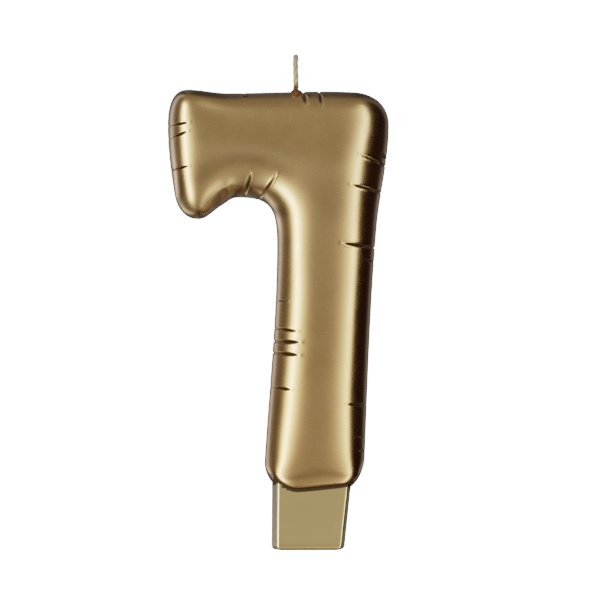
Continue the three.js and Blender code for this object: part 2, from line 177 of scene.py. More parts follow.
EDGES = {
    "topAndRight": Edge(
        station(crest_x, TOP_Z + LEFT_CREST_RISE, 0),
        station(crest_x + DIP_FROM_CREST, TOP_Z - DIP_DEPTH, 0),
        station(RIGHT_X - SHOULDER_CORNER[0], TOP_Z, SHOULDER_HEADING, 0.62),
        station(RIGHT_X, SHOULDER_Z, -90),
        station(waist_right_x, waist_right_z, WAIST_HEADING),
        station(end_right_x, end_right_z, END_RIGHT_HEADING),
    ),
    "lowerEnd": Edge(
        station(end_right_x, end_right_z, END_RIGHT_HEADING, 0.52),
        station(end_right_x - END_RIGHT_CORNER[0], END_Z + END_RISE, END_HEADING),
        station(end_left_x + END_LEFT_CORNER[0], END_Z, END_HEADING, 0.5),
        station(end_left_x, end_left_z, END_LEFT_HEADING),
    ),
    "underside": Edge(
        station(lobe_x, lobe_z, 0),
        station(waist_left_x - INNER_CORNER[0], ARCH_Z, 0, 0.82),
        station(waist_left_x, waist_left_z, -90),
        station(end_left_x, end_left_z, END_LEFT_HEADING - 180),
    ),
    "leftEnd": Edge(
        station(crest_x, TOP_Z + LEFT_CREST_RISE, 180, 0.67),
        station(LEFT_X, TOP_Z - LEFT_CORNER[1], -90),
        station(LEFT_X + LOBE_FLANK_SLOPE, lobe_z + LOBE_CORNER[1], LOBE_FLANK_HEADING - 180, 0.61),
        station(lobe_x, lobe_z, 0),
    ),
}
INSIDE_TURN = {"topAndRight": -90, "lowerEnd": -90, "underside": 90, "leftEnd": 90}
# How the width of the rounded border changes along each edge: shares of the edge, and the width at each
BORDERS = {
    "topAndRight": [
        (0, LEFT_ROUNDING), (0.1, EDGE_ROUNDING), (0.34, EDGE_ROUNDING), (0.46, SHOULDER_ROUNDING),
        (0.64, EDGE_ROUNDING), (0.9, EDGE_ROUNDING), (1, STEM_END_ROUNDING),
    ],
    "lowerEnd": [
        (0, STEM_END_ROUNDING), (0.14, CORNER_ROUNDING), (0.3, END_ROUNDING), (0.72, END_ROUNDING),
        (0.9, CORNER_ROUNDING), (1, STEM_END_ROUNDING),
    ],
    "underside": [
        (0, LOBE_ROUNDING), (0.20, ARCH_ROUNDING), (0.29, INNER_ROUNDING), (0.36, INNER_ROUNDING),
        (0.50, EDGE_ROUNDING), (0.86, EDGE_ROUNDING), (1, STEM_END_ROUNDING),
    ],
    "leftEnd": [(0, LEFT_ROUNDING), (0.66, LEFT_ROUNDING), (0.85, EDGE_ROUNDING), (1, LOBE_ROUNDING)],
}


def rim_pieces(step=0.5):
    """The outline as short straight pieces: their ends and the width of the rounded border at each."""
    ends = []
    for name, edge in EDGES.items():
        shares = np.linspace(0, 1, math.ceil(edge.length / step) + 1)
        points = edge.at(shares)
        widths = np.interp((shares[1:] + shares[:-1]) / 2, *zip(*BORDERS[name]))
        ends += list(zip(points, points[1:], widths))
    return np.array([e[0] for e in ends]), np.array([e[1] for e in ends]), np.array([e[2] for e in ends])


RIM_FROM, RIM_TO, RIM_ROUNDING = rim_pieces()
RIM_LENGTH = np.linalg.norm(RIM_TO - RIM_FROM, axis=1)


def smooth(low, high, value):
    t = np.clip((value - low) / (high - low), 0, 1)
    return t * t * (3 - 2 * t)


def swelling(x, z):
    """How much fuller or thinner than the middle of the stem the figure is at a place."""
    across = (RIGHT_X - SWELL_FROM_SHOULDER[0] - x) / SWELL_REACH
    down = (TOP_Z - SWELL_FROM_SHOULDER[1] - z) / SWELL_REACH
    swell = SWELL_SHARE * np.exp(-(across**2 + down**2))
    left = LEFT_THINNING * (1 - smooth(LEFT_X, LEFT_X + LEFT_THINNING_REACH, x))
    lower = LOWER_THINNING * (1 - smooth(END_Z, END_Z + LOWER_THINNING_REACH, z))
    return (1 + swell) * (1 - left) * (1 - lower)


def half_thickness(places):
    """Half the figure's thickness at places inside the outline, an array of x and z. Each piece of the rim presses
    the skins together, the more so the nearer it is."""
    flat = places.reshape(-1, 2)
    pressure = np.zeros(len(flat))
    for a, b, rounding, length in zip(RIM_FROM, RIM_TO, RIM_ROUNDING, RIM_LENGTH):
        near = np.hypot(flat[:, 0] - a[0], flat[:, 1] - a[1]) + 1e-9
        far = np.hypot(flat[:, 0] - b[0], flat[:, 1] - b[1]) + 1e-9
        total = near + far
        pressure += rounding**2 * length * total / (near * far * np.maximum(total**2 - length**2, 1e-9))
    depth = 1 / np.sqrt(pressure)
    crown = 1 + CROWN_SHARE * (depth - 1)
    fullness = FIGURE_THICKNESS / 2 * swelling(flat[:, 0], flat[:, 1])
    return (fullness * np.sqrt(np.tanh(2 * depth)) * crown).reshape(places.shape[:-1])


# The fold between the lobe and the arch, where shade is painted: its place, heading, reach, width and painted shade
FOLD_PLACE = (-26.0, 100.7)
FOLD_HEADING = 34
FOLD_REACH = 8.6
FOLD_WIDTH = 1.8
FOLD_SHADE = 0.33

# The puckers: edge, share along it, length inwards, width, slant, depth, and how open at the edge. The widest is the
# crease beside the lobe, which is not in the CAD model.
PUCKERS = [
    ("leftEnd", 0.309, 5.6, 0.8, 9, 0.8, 0.15),
    ("leftEnd", 0.393, 5.5, 0.85, 19, 0.8, 0.15),
    ("leftEnd", 0.601, 4.8, 0.75, 8, 0.7, 0.2),
    ("topAndRight", 0.101, 1.5, 0.9, 8, 0.6, 0.4),
    ("topAndRight", 0.2088, 3.8, 1.8, 4, 0.46, 0.75),
    ("topAndRight", 0.2375, 4.0, 1.5, 3, 0.50, 0.75),
    ("topAndRight", 0.461, 2.6, 0.8, -33, 0.6, 0.3),
    ("topAndRight", 0.473, 8.2, 1.0, -13, 0.8, 0.3),
    ("topAndRight", 0.522, 9.2, 1.0, -5, 0.8, 0.3),
    ("topAndRight", 0.622, 9.8, 1.2, -3, 1.0, 0.35),
    ("topAndRight", 0.648, 2.9, 0.9, -9, 0.6, 0.3),
    ("topAndRight", 0.907, 5.8, 1.0, -2, 0.8, 0.15),
    ("topAndRight", 0.965, 2.9, 0.8, -3, 0.4, 0.3),
    ("topAndRight", 0.990, 2.7, 0.8, -3, 0.4, 0.3),
    ("underside", 0.043, 8.6, 3.2, -66, 0.27, 0.5),
    ("underside", 0.156, 7.3, 1.2, -11, 0.5, 0.25),
    ("underside", 0.200, 8.4, 1.0, -17, 0.42, 0.3),
    ("underside", 0.522, 3.0, 0.8, -2, 0.5, 0.2),
    ("underside", 0.605, 5.9, 1.0, -5, 0.8, 0.3),
    ("underside", 0.644, 7.0, 1.3, 2, 1.0, 0.35),
    ("underside", 0.678, 6.9, 1.25, -1, 0.9, 0.35),
    ("underside", 0.779, 5.4, 1.0, -4, 0.8, 0.15),
]


def pucker_relief(places):
    """How far the puckers push the skin in (negative) or out at places inside the outline, and how much painted shade
    each place gets from lying in a groove, from 0 to 1."""
    relief = np.zeros(places.shape[:-1])
    painted_shade = np.zeros(places.shape[:-1])
    for edge, share, length, width, slant, depth, opening in PUCKERS:
        start = EDGES[edge].at(share)
        along = EDGES[edge].tangent(share)
        turn = math.radians(INSIDE_TURN[edge] + slant)
        inwards = np.array(
            [
                along[0] * math.cos(turn) - along[1] * math.sin(turn),
                along[0] * math.sin(turn) + along[1] * math.cos(turn),
            ]
        )
        offset = places - start
        reach = offset @ inwards / length
        beside = np.abs(offset @ np.array([-inwards[1], inwards[0]]))
        near = (reach > -0.4) & (reach < 1.5) & (beside < 3 * width)
        # a teardrop: narrow at the rim, widest past its middle, pointed at the tip
        plan = (0.62 + 0.38 * smooth(0, 0.5, reach)) * np.sqrt(np.clip(1 - np.maximum(reach, 0) ** 3, 0, 1))
        half = np.maximum(width / 2 * plan, 1e-3)
        fade = np.clip(1 - np.maximum(reach, 0) ** 4, 0, 1)
        fall = depth * (opening + (1 - opening) * smooth(0, 0.4, reach)) * fade
        groove = np.clip(1 - (beside / half) ** 1.4, 0, 1)
        # the skin rises a little on both sides of the groove and past its tip
        ridge = np.exp(-(((beside - 1.25 * half) / (0.34 * width)) ** 2))
        lips = 0.05 * width * ridge * smooth(0.12, 0.45, reach) * (1 - smooth(0.9, 1.1, reach))
        tip = 0.06 * width * np.exp(-((offset - inwards * length * 1.07) ** 2).sum(-1) / (0.45 * width) ** 2)
        relief += np.where(near, lips + tip - fall * groove, 0)
        # painted shade in the groove, the stronger the deeper the groove
        shade = groove * np.clip(fall / 0.6, 0, 1) * (opening + (1 - opening) * smooth(0.1, 0.5, reach))
        painted_shade = np.maximum(painted_shade, np.where(near, shade, 0))
    return relief, painted_shade


def mesh_object(name, points, faces, material, smooth_angle=40):
    mesh = bpy.data.meshes.new(name)
    mesh.from_pydata([tuple(p) for p in points], [], [tuple(f) for f in faces])
    mesh.validate()
    obj = bpy.data.objects.new(name, mesh)
    bpy.context.scene.collection.objects.link(obj)
    mesh.materials.append(material)
    mesh.shade_smooth()
    mesh.set_sharp_from_angle(angle=math.radians(smooth_angle))
    return obj


# How fast the bulges of the left and the lower end fade inwards
LEFT_BULGE_POWER = 12
LOWER_BULGE_POWER = 24


def place_inside(along, across):
    """Places inside the outline, as in the CAD model, for shares along and across the figure."""
    u = along[:, None, None]
    v = across[None, :, None]

    def between(shares):
        outer = EDGES["topAndRight"].at(shares)[:, None, :]
        inner = EDGES["underside"].at(shares)[:, None, :]
        return outer * (1 - v) + inner * v

    left_bulge = EDGES["leftEnd"].at(across)[None] - between(np.zeros(1))
    lower_bulge = EDGES["lowerEnd"].at(across)[None] - between(np.ones(1))
    return between(along) + (1 - u) ** LEFT_BULGE_POWER * left_bulge + u**LOWER_BULGE_POWER * lower_bulge


def gathered(places, centres, sigma, extra, count):
    """Count + 1 of the evenly numbered places, closer together round the centres."""
    even = np.linspace(0, 1, len(places))
    weight = np.ones(len(places))
    for centre in centres:
        weight += extra * np.exp(-((places - centre) / sigma) ** 2)
    travel = np.concatenate([[0], np.cumsum((weight[1:] + weight[:-1]) / 2)])
    spread = np.interp(np.linspace(0, travel[-1], count + 1), travel, even)
    return np.interp(spread, even, places)


def outwards(sheet):
    """The direction out of a sheet of points at each of them."""
    normal = np.cross(np.gradient(sheet, axis=1), np.gradient(sheet, axis=0))
    return normal / np.maximum(np.linalg.norm(normal, axis=-1, keepdims=True), 1e-12)


def quads(numbers, flip):
    corners = [numbers[:-1, :-1], numbers[:-1, 1:], numbers[1:, 1:], numbers[1:, :-1]]
    return np.stack([c.ravel() for c in (corners[::-1] if flip else corners)], -1)


def seam_height(x, y):
    """Height at which the figure's skin passes over the foot's faces, at places on the plan, found on a grid."""
    columns, rows = 160, 80
    across = np.linspace(-FOOT_WIDTH * 0.6, FOOT_WIDTH * 0.7, columns)
    edge = EDGES["lowerEnd"].points[::-1]
    heights = np.interp(across, edge[:, 0], edge[:, 1])[:, None] + np.linspace(0, FOOT_SEAT, rows)
    half = half_thickness(np.stack([np.broadcast_to(across[:, None], heights.shape), heights], -1))
    half[:, 0] = 0
    column = np.rint(np.interp(x, across, np.arange(columns))).astype(int)
    covered = half[column] > np.abs(y)[..., None]
    return heights[column, np.where(covered.any(-1), covered.argmax(-1), rows - 1)]


# How many steps the figure's sheet has along and across
SHEET_ROWS = 1180
SHEET_COLUMNS = 168
LIP_SHADE = (0.1, 1.0)  # heights over the lip at which the painted shade under the figure starts to thin out and ends
LIP_SHADE_REACH = 7  # how far up the figure that painted shade is worked out


def build_figure(material):
    # stretches of the sheet: from, to, points, and how they are spaced
    stretches = [
        (0, 0.09, 100, lambda t: 1 - np.cos(t * math.pi / 2)),
        (0.09, 0.42, 300, lambda t: t),
        (0.42, 0.95, 420, lambda t: t),
        (0.95, 1, 80, lambda t: np.sin(t * math.pi / 2)),
    ]
    along = np.concatenate([a + (b - a) * ease(np.arange(n) / n) for a, b, n, ease in stretches] + [[1.0]])
    along = gathered(along, [p[1] for p in PUCKERS if p[0] != "leftEnd"], 0.01, 1.6, SHEET_ROWS)
    across = (1 - np.cos(np.linspace(0, math.pi, 1200))) / 2
    across = gathered(across, [p[1] for p in PUCKERS if p[0] == "leftEnd"], 0.035, 2.2, SHEET_COLUMNS)
    place = place_inside(along, across)
    rows, columns = place.shape[:2]
    half = np.zeros((rows, columns))
    half[1:-1, 1:-1] = half_thickness(place[1:-1, 1:-1])
    front = np.stack([place[..., 0], -half, place[..., 1]], -1)

    rim = np.zeros((rows, columns), bool)
    rim[0] = rim[-1] = rim[:, 0] = rim[:, -1] = True
    normal = outwards(front)
    # on the outline the skin faces straight out of the middle plane
    normal[rim, 1] = 0
    normal[rim] /= np.maximum(np.linalg.norm(normal[rim], axis=-1, keepdims=True), 1e-12)
    relief, painted_shade = pucker_relief(place)
    front = front + normal * relief[..., None]
    back = front * np.array([1, -1, 1])

    front_number = np.arange(rows * columns).reshape(rows, columns)
    back_number = front_number.copy()
    back_number[~rim] = rows * columns + np.arange((~rim).sum())
    points = np.concatenate([front.reshape(-1, 3), back[~rim]]) * MM
    faces = np.concatenate([quads(front_number, False), quads(back_number, True)])
    figure = mesh_object("figure_skin", points, faces.tolist(), material)
    # painted shade along the lip over the foot, where the figure's skin rolls under
    x, z = place[..., 0], place[..., 1]
    near_foot = (z < END_Z + LIP_SHADE_REACH) & (np.abs(x - z * LEAN) < FOOT_WIDTH / 2 + 1)
    above = z[near_foot] - seam_height(x[near_foot], np.full(near_foot.sum(), FOOT_DEPTH / 2 + END_Z * FOOT_TAPER))
    painted_shade[near_foot] = np.maximum(painted_shade[near_foot], 1 - smooth(*LIP_SHADE, above))
    # and painted shade in the fold where the lobe meets the arch
    angle = math.radians(FOLD_HEADING)
    offset = place - np.array(FOLD_PLACE)
    along_fold = offset @ np.array([math.cos(angle), math.sin(angle)]) / FOLD_REACH
    across_fold = offset @ np.array([-math.sin(angle), math.cos(angle)]) / FOLD_WIDTH
    painted_shade = np.maximum(painted_shade, FOLD_SHADE * np.exp(-(along_fold**2) - across_fold**2))
    # the painted shade is kept on the skin as a point attribute for its material
    shade_layer = figure.data.attributes.new("painted_shade", "FLOAT", "POINT")
    shade_layer.data.foreach_set("value", np.concatenate([painted_shade.ravel(), painted_shade[~rim]]).astype(np.float32))
    return figure


def loft_object(name, rings, material, smooth_angle=40):
    """A closed body through rings of points, each anticlockwise seen from the side that it grows towards."""
    rings = np.asarray(rings, float)
    count, sides = rings.shape[:2]
    faces = []
    for i in range(count - 1):
        for j in range(sides):
            a, b = i * sides + j, i * sides + (j + 1) % sides
            faces.append((a, b, b + sides, a + sides))
    faces.append(tuple(range(sides))[::-1])
    faces.append(tuple(range((count - 1) * sides, count * sides)))
    return mesh_object(name, rings.reshape(-1, 3) * MM, faces, material, smooth_angle)


def foot_section(z, grow=0.0, draw_in=0.0, steps=6, side_steps=10, face_steps=14):
    """The foot's outline at one height: flat front and back faces, sides that bulge to the mould line."""
    half_width = FOOT_WIDTH / 2 + z * FOOT_TAPER + grow - draw_in
    half_depth = FOOT_DEPTH / 2 + z * FOOT_TAPER + grow - draw_in
    face_width = half_width - FOOT_SIDE_DRAFT
    middle = z * LEAN + FOOT_SHIFT
    r = FOOT_EDGE_RADIUS
    places = []
    for side_x, side_y, first in ((1, -1, -90), (1, 1, 0), (-1, 1, 90), (-1, -1, 180)):
        centre_x, centre_y = side_x * (face_width - r), side_y * (half_depth - r)
        for k in range(steps + 1):
            angle = math.radians(first + 90 * k / steps)
            places.append((middle + centre_x + r * math.cos(angle), centre_y + r * math.sin(angle)))
        if side_x != side_y:
            for k in range(1, side_steps):
                y = side_x * (half_depth - r) * (2 * k / side_steps - 1)
                bulge = FOOT_SIDE_DRAFT * (1 - abs(y) / (half_depth - r))
                places.append((middle + side_x * (face_width + bulge), y))
        else:
            for k in range(1, face_steps):
                x = side_x * (face_width - r) * (1 - 2 * k / face_steps)
                places.append((middle + x, side_y * half_depth))
    return [(x, y, z) for x, y in places]


FOOT_SHADOW = (-0.95, -0.35)  # how far under the lip the painted shadow on the foot starts and is complete


def build_foot(material):
    # the rounded edge round the base, and then straight up
    levels = []
    for k in range(7):
        angle = math.radians(15 * k)
        levels.append((FOOT_BASE_RADIUS * (1 - math.cos(angle)), FOOT_BASE_RADIUS * (1 - math.sin(angle))))
    shown = np.linspace(FOOT_BASE_RADIUS, END_Z - 1, 16)[1:]
    covered = np.linspace(END_Z - 1, FOOT_TOP_Z, 44)[1:]
    levels += [(z, 0.0) for z in np.concatenate([shown, covered])]
    rings = np.array([foot_section(z, 0, draw_in) for z, draw_in in levels])
    foot = loft_object("foot_block", rings, material, smooth_angle=30)
    # painted shadow on the foot's top, just under the figure's overhanging lip
    shade = smooth(*FOOT_SHADOW, rings[..., 2] - seam_height(rings[..., 0], rings[..., 1]))
    shade_layer = foot.data.attributes.new("painted_shade", "FLOAT", "POINT")
    shade_layer.data.foreach_set("value", shade.ravel().astype(np.float32))
    return foot


def channel(material, from_z, to_z):
    """The rod that cuts the wick's channel."""
    radius = WICK_DIAMETER / 2 + CLEARANCE / 3
    turns = np.linspace(0, 2 * math.pi, 32, endpoint=False)

    def ring(z):
        return [(WICK_X + radius * math.cos(a), radius * math.sin(a), z) for a in turns]

    return loft_object("channel", [ring(from_z), ring(to_z)], material)


def subtract(obj, cutter):
    modifier = obj.modifiers.new("cut", "BOOLEAN")
    modifier.operation = "DIFFERENCE"
    modifier.solver = "MANIFOLD"
    modifier.object = cutter
    graph = bpy.context.evaluated_depsgraph_get()
    result = bpy.data.meshes.new_from_object(obj.evaluated_get(graph), depsgraph=graph)
    obj.modifiers.clear()
    old = obj.data
    obj.data = result
    bpy.data.meshes.remove(old)
    bpy.data.objects.remove(cutter)
    obj.data.shade_smooth()
    obj.data.set_sharp_from_angle(angle=math.radians(50))


# Materials


def new_material(name):
    material = bpy.data.materials.new(name)
    material.use_nodes = True
    tree = material.node_tree
    shader = next(n for n in tree.nodes if n.type == "BSDF_PRINCIPLED")
    return material, tree, shader


def connect(tree, value, socket):
    """Sets a socket to a value, or links it to another socket."""
    if isinstance(value, bpy.types.NodeSocket):
        tree.links.new(value, socket)
    else:
        socket.default_value = value


def compute(tree, operation, *values):
    node = tree.nodes.new("ShaderNodeMath")
    node.operation = operation
    for value, socket in zip(values, node.inputs):
        connect(tree, value, socket)
    return node.outputs[0]


def noise(tree, scale, detail=3.0, roughness=0.5, stretch=None):
    coordinates = tree.nodes.new("ShaderNodeTexCoord")
    source = coordinates.outputs["Object"]
    if stretch:
        mapping = tree.nodes.new("ShaderNodeMapping")
        mapping.inputs["Scale"].default_value = stretch
        tree.links.new(source, mapping.inputs["Vector"])
        source = mapping.outputs["Vector"]
    texture = tree.nodes.new("ShaderNodeTexNoise")
    texture.inputs["Scale"].default_value = scale
    texture.inputs["Detail"].default_value = detail
    texture.inputs["Roughness"].default_value = roughness
    tree.links.new(source, texture.inputs["Vector"])
    return texture.outputs["Fac"]


def ramp(tree, source, low, high, at=(0.3, 0.7)):
    node = tree.nodes.new("ShaderNodeValToRGB")
    for element, place, colour in zip(node.color_ramp.elements, at, (low, high)):
        element.position = place
        element.color = (*colour, 1)
    tree.links.new(source, node.inputs["Fac"])
    return node.outputs["Color"]


def span(tree, source, from_low, from_high, low, high, smoothly=False):
    """Maps a value from one range to another, and holds it at the ends."""
    node = tree.nodes.new("ShaderNodeMapRange")
    node.interpolation_type = "SMOOTHSTEP" if smoothly else "LINEAR"
    for name, value in (("From Min", from_low), ("From Max", from_high), ("To Min", low), ("To Max", high)):
        connect(tree, value, node.inputs[name])
    tree.links.new(source, node.inputs["Value"])
    return node.outputs["Result"]


def blend(tree, share, first, second, kind="MIX"):
    node = tree.nodes.new("ShaderNodeMix")
    node.data_type = "RGBA"
    node.blend_type = kind
    connect(tree, share, node.inputs["Factor"])
    for value, name in ((first, "A"), (second, "B")):
        socket = next(s for s in node.inputs if s.name == name and s.type == "RGBA")
        connect(tree, (*value, 1) if isinstance(value, tuple) else value, socket)
    return next(s for s in node.outputs if s.type == "RGBA")


def bump(tree, shader, source, distance, strength=1.0, after=None):
    node = tree.nodes.new("ShaderNodeBump")
    node.inputs["Distance"].default_value = distance
    node.inputs["Strength"].default_value = strength
    tree.links.new(source, node.inputs["Height"])
    if after:
        tree.links.new(after, node.inputs["Normal"])
    tree.links.new(node.outputs["Normal"], shader.inputs["Normal"])
    return node.outputs["Normal"]


def height(tree, low, high):
    """How high a place on the object is between two heights in millimetres, from 0 to 1."""
    coordinates = tree.nodes.new("ShaderNodeTexCoord")
    parts = tree.nodes.new("ShaderNodeSeparateXYZ")
    tree.links.new(coordinates.outputs["Object"], parts.inputs[0])
    return span(tree, parts.outputs["Z"], low * MM, high * MM, 0.0, 1.0)


# Painted shade: where it lies the gold is painted brown and made dull, without shine: how strong the shade has to be
# for that to start and to be complete
PAINTED_SHADE_RANGE = (0.1, 0.6)
PAINTED_SHADE_BROWN = (0.075, 0.034, 0.010)
CLOUD_TINT = (0.97, 0.965, 0.95)
SPECK_TINT = (0.90, 0.78, 0.55)
PLAIN = (1.0, 1.0, 1.0)


def gold_lacquer(name, lower, upper, rough):
    """Satin gold lacquer: clouded and with fine grain; painted light makes it a little lighter and greyer towards the
    top, and painted shade turns it brown and dull where the painted shade attribute is set.
    """
    material, tree, shader = new_material(name)
    # the painted shade, read from the skin's point attribute
    shade_layer = tree.nodes.new("ShaderNodeAttribute")
    shade_layer.attribute_name = "painted_shade"
    crease = shade_layer.outputs["Fac"]
    tree.links.new(span(tree, crease, *PAINTED_SHADE_RANGE, 1.0, 0.35), shader.inputs["Metallic"])
    tree.links.new(span(tree, crease, *PAINTED_SHADE_RANGE, 0.6, 0.0), shader.inputs["Coat Weight"])
    shader.inputs["Coat IOR"].default_value = 1.6
    shader.inputs["Coat Roughness"].default_value = 0.25
    # painted light: lighter and greyer towards the top
    tint = blend(tree, height(tree, 10, 130), lower, upper)
    clouds = ramp(tree, noise(tree, 110, 4, 0.6), CLOUD_TINT, PLAIN, (0.35, 0.65))
    tint = blend(tree, 1.0, tint, clouds, "MULTIPLY")
    specks = span(tree, noise(tree, 1300, 1, 0.4), 0.76, 0.80, 0.0, 0.3)
    tint = blend(tree, specks, tint, SPECK_TINT)
    # painted shade: brown where the painted shade attribute is strong
    tint = blend(tree, span(tree, crease, 0.08, 0.55, 0.0, 0.95), tint, PAINTED_SHADE_BROWN)
    tree.links.new(tint, shader.inputs["Base Color"])
    gloss = span(tree, noise(tree, 260, 3), 0.3, 0.7, rough - 0.02, rough + 0.02)
    gloss = compute(tree, "ADD", gloss, span(tree, crease, *PAINTED_SHADE_RANGE, 0.0, 0.4))
    tree.links.new(gloss, shader.inputs["Roughness"])
    grain = bump(tree, shader, noise(tree, 2600, 2), 0.00002, 0.06)
    bump(tree, shader, noise(tree, 420, 3), 0.00003, 0.06, grain)
    return material


LOWER_COTTON = (0.80, 0.67, 0.42)
UPPER_COTTON = (0.45, 0.42, 0.345)
SOAKED_COTTON = (0.20, 0.14, 0.06)
FIBRE_TINT = (0.80, 0.77, 0.72)
DARK_WAX = (0.18, 0.068, 0.026)
LIGHT_WAX = (0.34, 0.15, 0.065)


def wick_cotton():
    """Waxed cotton with fine fibres, greyer towards the tip and dark where it is soaked at the figure."""
    material, tree, shader = new_material("waxed_cotton")
    fibres = noise(tree, 1500, 3, 0.6, (1.0, 1.0, 0.3))
    tint = blend(tree, height(tree, TOP_Z, TOP_Z + 10), LOWER_COTTON, UPPER_COTTON)
    tint = blend(tree, height(tree, TOP_Z + 1.4, TOP_Z + 2.8), SOAKED_COTTON, tint)
    tint = blend(tree, 1.0, tint, ramp(tree, fibres, FIBRE_TINT, PLAIN), "MULTIPLY")
    tree.links.new(tint, shader.inputs["Base Color"])
    tree.links.new(span(tree, fibres, 0.3, 0.7, 0.6, 0.85), shader.inputs["Roughness"])
    shader.inputs["Sheen Weight"].default_value = 0.3
    bump(tree, shader, noise(tree, 4200, 3, 0.6, (1.0, 1.0, 0.25)), 0.00004, 0.5)
    return material


def amber_wax():
    """Clouded copper-brown wax with a dull shine."""
    material, tree, shader = new_material("amber_wax")
    clouds = noise(tree, 700, 3)
    tree.links.new(ramp(tree, clouds, DARK_WAX, LIGHT_WAX), shader.inputs["Base Color"])
    tree.links.new(span(tree, clouds, 0.3, 0.7, 0.36, 0.5), shader.inputs["Roughness"])
    shader.inputs["Metallic"].default_value = 0.3
    shader.inputs["Coat Weight"].default_value = 0.15
    bump(tree, shader, noise(tree, 1500, 2), 0.00004, 0.4)
    return material


# The object

# Gold near the bottom and near the top: the upper one is lighter and greyer, painted light for the cooler light on the
# top
LOWER_GOLD = (0.745, 0.505, 0.255)
UPPER_GOLD = (0.775, 0.565, 0.32)
# The foot's gold is a brighter copy of the same lacquer: painted light, for the light its flat front catches
FOOT_GOLD = (0.99, 0.81, 0.475)

figure_gold = gold_lacquer("gold_lacquer", LOWER_GOLD, UPPER_GOLD, rough=0.27)
foot_gold = gold_lacquer("gold_lacquer_foot", FOOT_GOLD, FOOT_GOLD, rough=0.31)
cotton = wick_cotton()
wax = amber_wax()

figure = build_figure(figure_gold)
pocket_rings = [foot_section(END_Z - FOOT_SEAT, CLEARANCE / 2), foot_section(FOOT_TOP_Z + CLEARANCE, CLEARANCE / 2)]
subtract(figure, loft_object("pocket", pocket_rings, figure_gold))
subtract(figure, channel(figure_gold, FOOT_TOP_Z - CLEARANCE, TOP_Z + COLLAR_RISE + CLEARANCE))
foot = build_foot(foot_gold)
subtract(foot, channel(foot_gold, WICK_END_HEIGHT - CLEARANCE, FOOT_TOP_Z + CLEARANCE))


STRAND_RADIUS = WICK_DIAMETER * 0.41
STRAND_OFFSET = WICK_DIAMETER * 0.17
STRAND_LAY = 7.5
STRAND_TURN = 0.5  # of the first strand, in radians
STRAND_UNEVENNESS = 0.04
STRAND_TOPS = (0.0, 0.08, 0.16)  # how far each strand ends below the wick's tip
FRAY_LENGTH = 1.2
FRAY_SPREAD = 0.25
TIP_LENGTH = 0.35
WICK_SHIFT = -0.08
WICK_SWAY = 0.06


def build_wick(material):
    """Three strands of cotton laid in a slow twist, waxed nearly smooth, with a slightly open tip."""
    strands, sides = len(STRAND_TOPS), 12
    points, faces = [], []
    for k, shortfall in enumerate(STRAND_TOPS):
        first = len(points)
        phase = 2 * math.pi * k / strands + STRAND_TURN
        top = TOP_Z + WICK_FREE_LENGTH - shortfall
        heights = np.concatenate([np.linspace(WICK_END_HEIGHT, TOP_Z - 3, 120), np.linspace(TOP_Z - 3, top, 90)[1:]])
        for z in heights:
            twist = phase + z * 2 * math.pi / STRAND_LAY
            spread = 1 + FRAY_SPREAD * max(0, (z - (top - FRAY_LENGTH)) / FRAY_LENGTH)
            thin = math.sqrt(max(1 - max(0, (z - (top - TIP_LENGTH)) / TIP_LENGTH) ** 2, 0.05))
            sway = WICK_SWAY * math.sin(max(z - TOP_Z, 0) * 0.6)
            x = WICK_X + WICK_SHIFT + sway + STRAND_OFFSET * spread * math.cos(twist)
            y = STRAND_OFFSET * spread * math.sin(twist)
            r = STRAND_RADIUS * thin * (1 + STRAND_UNEVENNESS * math.sin(z * 5.3 + k * 2.1))
            for j in range(sides):
                a = 2 * math.pi * j / sides
                points.append((x + r * math.cos(a), y + r * math.sin(a), z))
        steps = len(heights) - 1
        for i in range(steps):
            for j in range(sides):
                a, b = first + i * sides + j, first + i * sides + (j + 1) % sides
                faces.append((a, b, b + sides, a + sides))
        faces.append(tuple(first + j for j in range(sides))[::-1])
        faces.append(tuple(first + steps * sides + j for j in range(sides)))
    return mesh_object("wick_cotton", np.array(points) * MM, faces, material, smooth_angle=60)


BEAD_SWELL = 0.55
BEAD_SINK = 0.35
BEAD_CLIMB = 0.6  # up the wick
BEAD_CLIMB_RADIUS = 0.9
SKIN_DEPTH = 8.0  # how far under the top the skin is looked for
TOP_POINTS = 900  # of the edge, to the middle of its level stretch; past them the top is taken as level


def skin_height(x, y):
    """Height of the figure's top skin over places on the plan, by halving the step between the top and a depth."""
    top_edge = EDGES["topAndRight"].points[:TOP_POINTS]
    low = np.full(x.shape, TOP_Z - SKIN_DEPTH)
    high = np.interp(x, top_edge[:, 0], top_edge[:, 1])
    for _ in range(26):
        middle = (low + high) / 2
        inside = half_thickness(np.stack([x, middle], -1)) > np.abs(y)
        low = np.where(inside, middle, low)
        high = np.where(inside, high, middle)
    return (low + high) / 2


